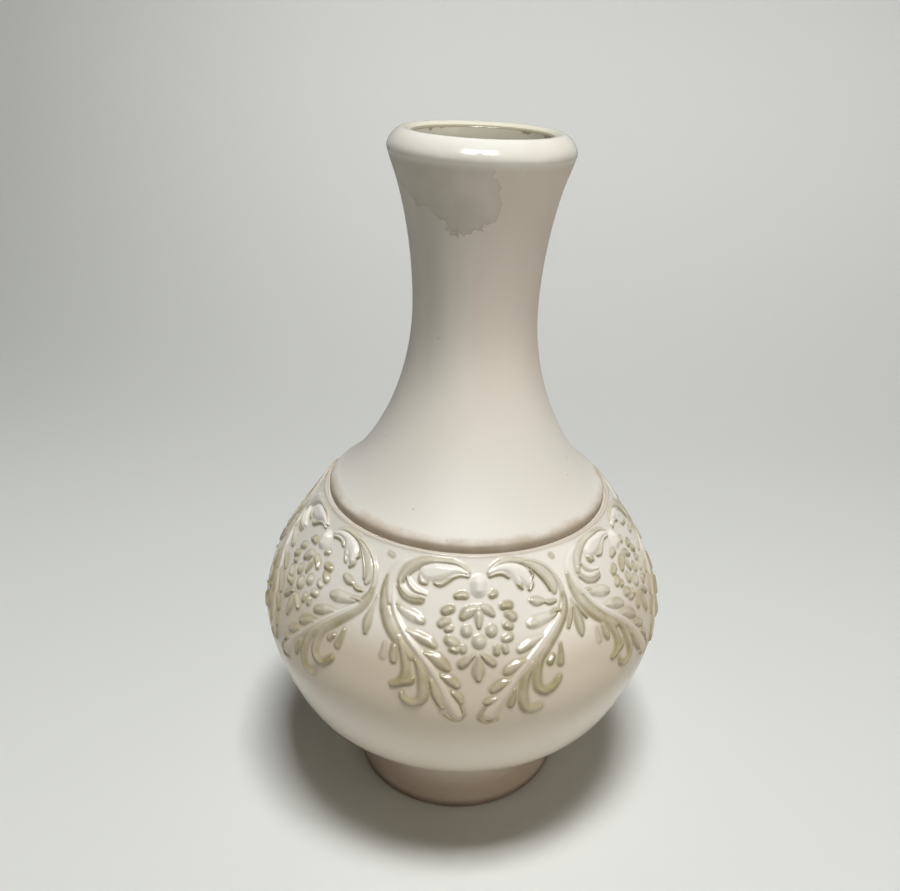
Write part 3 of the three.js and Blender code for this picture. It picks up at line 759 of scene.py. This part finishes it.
def foot_glaze():
    """A brown foot, darker towards the ground as painted shade, with a dark band along the edge it stands on,
    partly dirt and partly painted shade.
    """
    glaze = Glaze("soiled_and_shaded_foot_glaze", FOOT_GLOSS)
    z = glaze.height()[2]
    patchy = glaze.ramp(glaze.noise(60, (1, 1, 2), 4, 0.6), 0.25, 0.75)
    # The foot deepens to brown towards the ground: partly its own brown, partly painted shade.
    color = glaze.mix(glaze.ramp(z, 0.0225, 0.012, 0.5, 0.95), glaze.ivory(), FOOT_BROWN_AND_SHADE)
    color = glaze.mix(glaze.math("MULTIPLY", patchy, 0.2), color, WARM_IVORY)
    # A dark band along the bottom edge: partly dirt, partly painted contact shade where the foot meets the
    # ground.
    line = glaze.ramp(z, 0.005, 0.001)
    dirt = glaze.math("MULTIPLY", line, glaze.math("ADD", glaze.math("MULTIPLY", patchy, 0.3), 0.6))
    return glaze.finish(glaze.mix(dirt, color, SOIL_AND_SHADE))


def sprig_glaze(name, wash_color):
    """Relief glaze: ivory in the middle, wash that pools at the edges, more wash on the down-facing sides as
    painted shade, and a dark line under each edge that is partly pooled wash and partly painted shadow.
    """
    glaze = Glaze(name, SPRIG_GLOSS)
    ivory = belly_ground(glaze, glaze.height()[2])
    wash = glaze.attribute("wash")
    edge = glaze.attribute("edge")
    # How far each place faces down, used for painted shade.
    under = glaze.ramp(glaze.attribute("fall"), -0.1, 0.9)
    cloud = glaze.ramp(glaze.noise(75, detail=4, roughness=0.6), 0.3, 0.7, 0.6, 1.1)
    # More wash at the edges, and on down-facing sides as painted shade.
    pooled_wash_and_shade = glaze.math("ADD", glaze.ramp(edge, 0.2, 1.5, 1.0, 0.72), glaze.math("MULTIPLY", under, 0.2))
    share = glaze.math("MULTIPLY", glaze.math("MULTIPLY", wash, pooled_wash_and_shade), cloud, clamp=True)
    color = glaze.mix(share, ivory, wash_color)
    # A dark line at each edge, mostly under the lower edges: partly pooled wash, partly painted shadow.
    line = glaze.math("MULTIPLY", glaze.ramp(edge, -0.4, 0.0), glaze.ramp(edge, 0.05, 0.5, 1, 0))
    washed = glaze.ramp(wash, 0, 0.5, 0.25, 1)
    patchy = glaze.ramp(glaze.noise(60, detail=3), 0.35, 0.65, 0.3, 0.8)
    sides = glaze.math("ADD", glaze.math("MULTIPLY", under, 0.75), 0.25)
    line = glaze.math("MULTIPLY", glaze.math("MULTIPLY", line, patchy), glaze.math("MULTIPLY", washed, sides))
    color = glaze.mix(line, color, DARK_WASH_AND_SHADOW)
    return glaze.finish(color)


# The vase, put together

def dress(piece, node, material):
    piece.data.materials.append(material)
    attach(piece, "root")
    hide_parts(node)


def build_vase():
    dress(foot_ring(), "foot_ring", foot_glaze())
    dress(belly(), "belly", belly_glaze())
    dress(neck(), "neck", neck_glaze())
    dress(rim(), "rim", rim_glaze())

    relief_material = sprig_glaze("brown_washed_relief_glaze", WASH)
    flower_material = sprig_glaze("brown_washed_flower_glaze", FLOWER_WASH)
    bead_material = sprig_glaze("pale_bead_glaze", WASH)
    sprigs = {
        "scroll_left": (SCROLL_LEFT, "relief_wash", relief_material),
        "scroll_right": (SCROLL_RIGHT, "relief_wash", relief_material),
        "bead": (BEAD_SPRIG, "bead_glaze", bead_material),
        "crest": (CREST, "relief_wash", relief_material),
        "wreath_left": (WREATH_LEFT, "relief_wash", relief_material),
        "wreath_right": (WREATH_RIGHT, "relief_wash", relief_material),
        "flower": (FLOWER, "flower_wash", flower_material),
    }
    for sprig, (bands, slot, material) in sprigs.items():
        drawn = sprig_mesh(bands)
        for panel in range(PANELS):
            node = f"{sprig}_{panel + 1}"
            dress(sprig_copy(drawn, panel, f"{node}_glazed"), node, material)
        drawn.free()
    valleys = [sprig_mesh(VALLEY_THREE), sprig_mesh(VALLEY_ONE)]
    for panel in range(PANELS):
        node = f"valley_leaf_{panel + 1}"
        piece = sprig_copy(valleys[panel % 2], panel, f"{node}_glazed")
        dress(piece, node, relief_material)
    for drawn in valleys:
        drawn.free()


# Stage, light and camera

def pale_sheet():
    """The sheet's paint: paler for the camera alone, painted shade towards the far left, and a painted glow
    for the camera where it rises away from the lamps.
    """
    paint = Glaze("pale_sheet", SHEET_GLOSS)
    paint.shader.inputs["Specular IOR Level"].default_value = 0
    seen = paint.node("ShaderNodeLightPath").outputs["Is Camera Ray"]
    x, y, _ = paint.height()
    sideways = paint.math("DIVIDE", x, paint.math("ADD", y, CAMERA_DISTANCE * MM))
    across = paint.ramp(sideways, -0.75, -0.05)
    far = paint.ramp(y, 0.1, 0.7)
    # Painted shade on the far left of the sheet.
    shade = paint.math("SUBTRACT", 1.0, paint.math("MULTIPLY", far, paint.math("SUBTRACT", 1.0, across)))
    near_color = paint.mix(seen, SHEET_NEAR, SHEET_NEAR_SEEN)
    far_color = paint.mix(seen, SHEET_FAR, SHEET_FAR_SEEN)
    color = paint.mix(shade, far_color, near_color)
    paint.feed(paint.shader.inputs["Base Color"], color)
    # A painted glow for the camera, stronger further back and to the right.
    lift = paint.math("ADD", paint.math("MULTIPLY", across, 0.19), 0.11)
    behind = paint.math("MULTIPLY", paint.ramp(y, 0.2, 1.6), lift)
    paint.feed(paint.shader.inputs["Emission Strength"], paint.math("MULTIPLY", behind, seen))
    paint.shader.inputs["Emission Color"].default_value = SHEET_GLOW
    return paint.material


def backdrop():
    """A pale sheet on the table that rises behind the vase."""
    bm = bmesh.new()
    bend = rounding((0.4, 1.7), 1.7, -90, 0, 40)
    places = [(0, -2.5, 0)] + [(0, across, up) for across, up in bend] + [(0, 2.1, 4)]
    verts = [bm.verts.new(place) for place in places]
    edges = [bm.edges.new(pair) for pair in zip(verts, verts[1:])]
    made = bmesh.ops.extrude_edge_only(bm, edges=edges)["geom"]
    far = [item for item in made if isinstance(item, bmesh.types.BMVert)]
    bmesh.ops.translate(bm, vec=(6, 0, 0), verts=far)
    bmesh.ops.translate(bm, vec=(-3, 0, 0), verts=bm.verts)
    bmesh.ops.recalc_face_normals(bm, faces=bm.faces)
    for face in bm.faces:
        face.smooth = True
    mesh = bpy.data.meshes.new("backdrop")
    bm.to_mesh(mesh)
    bm.free()
    sheet = bpy.data.objects.new("backdrop", mesh)
    bpy.context.collection.objects.link(sheet)
    mesh.materials.append(pale_sheet())


def area_light(name, place, target, size, watts, color=(1, 1, 1)):
    """A flat lamp at a place, turned to its target."""
    data = bpy.data.lights.new(name, "AREA")
    data.shape = "RECTANGLE"
    data.color = color
    data.size, data.size_y = size
    data.energy = watts
    light = bpy.data.objects.new(name, data)
    bpy.context.collection.objects.link(light)
    light.location = place
    light.rotation_euler = (Vector(target) - Vector(place)).to_track_quat("-Z", "Y").to_euler()
    return light


WARM_ROOM = (1, 0.9, 0.78)
WORLD_COLOR = (0.62, 0.5, 0.38, 1)
WORLD_STRENGTH = 0.05


def lights():
    """A lamp overhead and soft room light. The gleams light nothing and only show in the glaze."""
    middle = (0, 0, 0.17)
    lamps = [
        area_light("lamp_above", (0.07, -0.33, 1.7), middle, (0.5, 0.3), 24.8),
        area_light("room_front", (0.35, -1.5, 0.24), middle, (1.2, 0.5), 2.4, WARM_ROOM),
    ]
    for lamp in lamps:
        lamp.visible_glossy = False
    gleams = [
        area_light("gleam_left", (-0.225, -0.69, 1.25), middle, (0.27, 0.34), 7.5),
        area_light("gleam_right", (0.15, -0.71, 1.25), middle, (0.27, 0.34), 7.5),
    ]
    for gleam in gleams:
        gleam.visible_diffuse = False
    area_light("window_light", (1.3, -0.7, 0.5), middle, (1.0, 0.8), 2.4, WARM_ROOM)

    world = bpy.data.worlds.new("pale_room")
    world.use_nodes = True
    bpy.context.scene.world = world
    shade = world.node_tree.nodes["Background"]
    shade.inputs["Color"].default_value = WORLD_COLOR
    shade.inputs["Strength"].default_value = WORLD_STRENGTH


def camera():
    """The camera that took the photograph, with its off-centre frame."""
    yaw, pitch, roll = CAMERA_YAW, CAMERA_PITCH, CAMERA_ROLL
    forward = Vector((math.sin(yaw) * math.cos(pitch), math.cos(yaw) * math.cos(pitch), -math.sin(pitch)))
    level = forward.cross(Vector((0, 0, 1))).normalized()
    upright = level.cross(forward)
    right = math.cos(roll) * level + math.sin(roll) * upright
    up = math.cos(roll) * upright - math.sin(roll) * level
    data = bpy.data.cameras.new("camera")
    data.sensor_width = SENSOR_WIDTH
    data.sensor_fit = "HORIZONTAL"
    data.lens = FOCAL_PIXELS / PHOTO_WIDTH * SENSOR_WIDTH
    data.shift_x = (PHOTO_WIDTH / 2 - OPTICAL_CENTRE[0]) / PHOTO_WIDTH
    data.shift_y = (OPTICAL_CENTRE[1] - PHOTO_HEIGHT / 2) / PHOTO_WIDTH
    data.clip_start = 0.01
    eye = bpy.data.objects.new("camera", data)
    bpy.context.collection.objects.link(eye)
    axes = Matrix((right, up, -forward)).transposed()
    eye.matrix_world = Matrix.Translation((0, -CAMERA_DISTANCE * MM, CAMERA_HEIGHT * MM)) @ axes.to_4x4()
    bpy.context.scene.camera = eye


camera()
build_vase()
backdrop()
lights()
bpy.context.scene.view_settings.view_transform = "Standard"
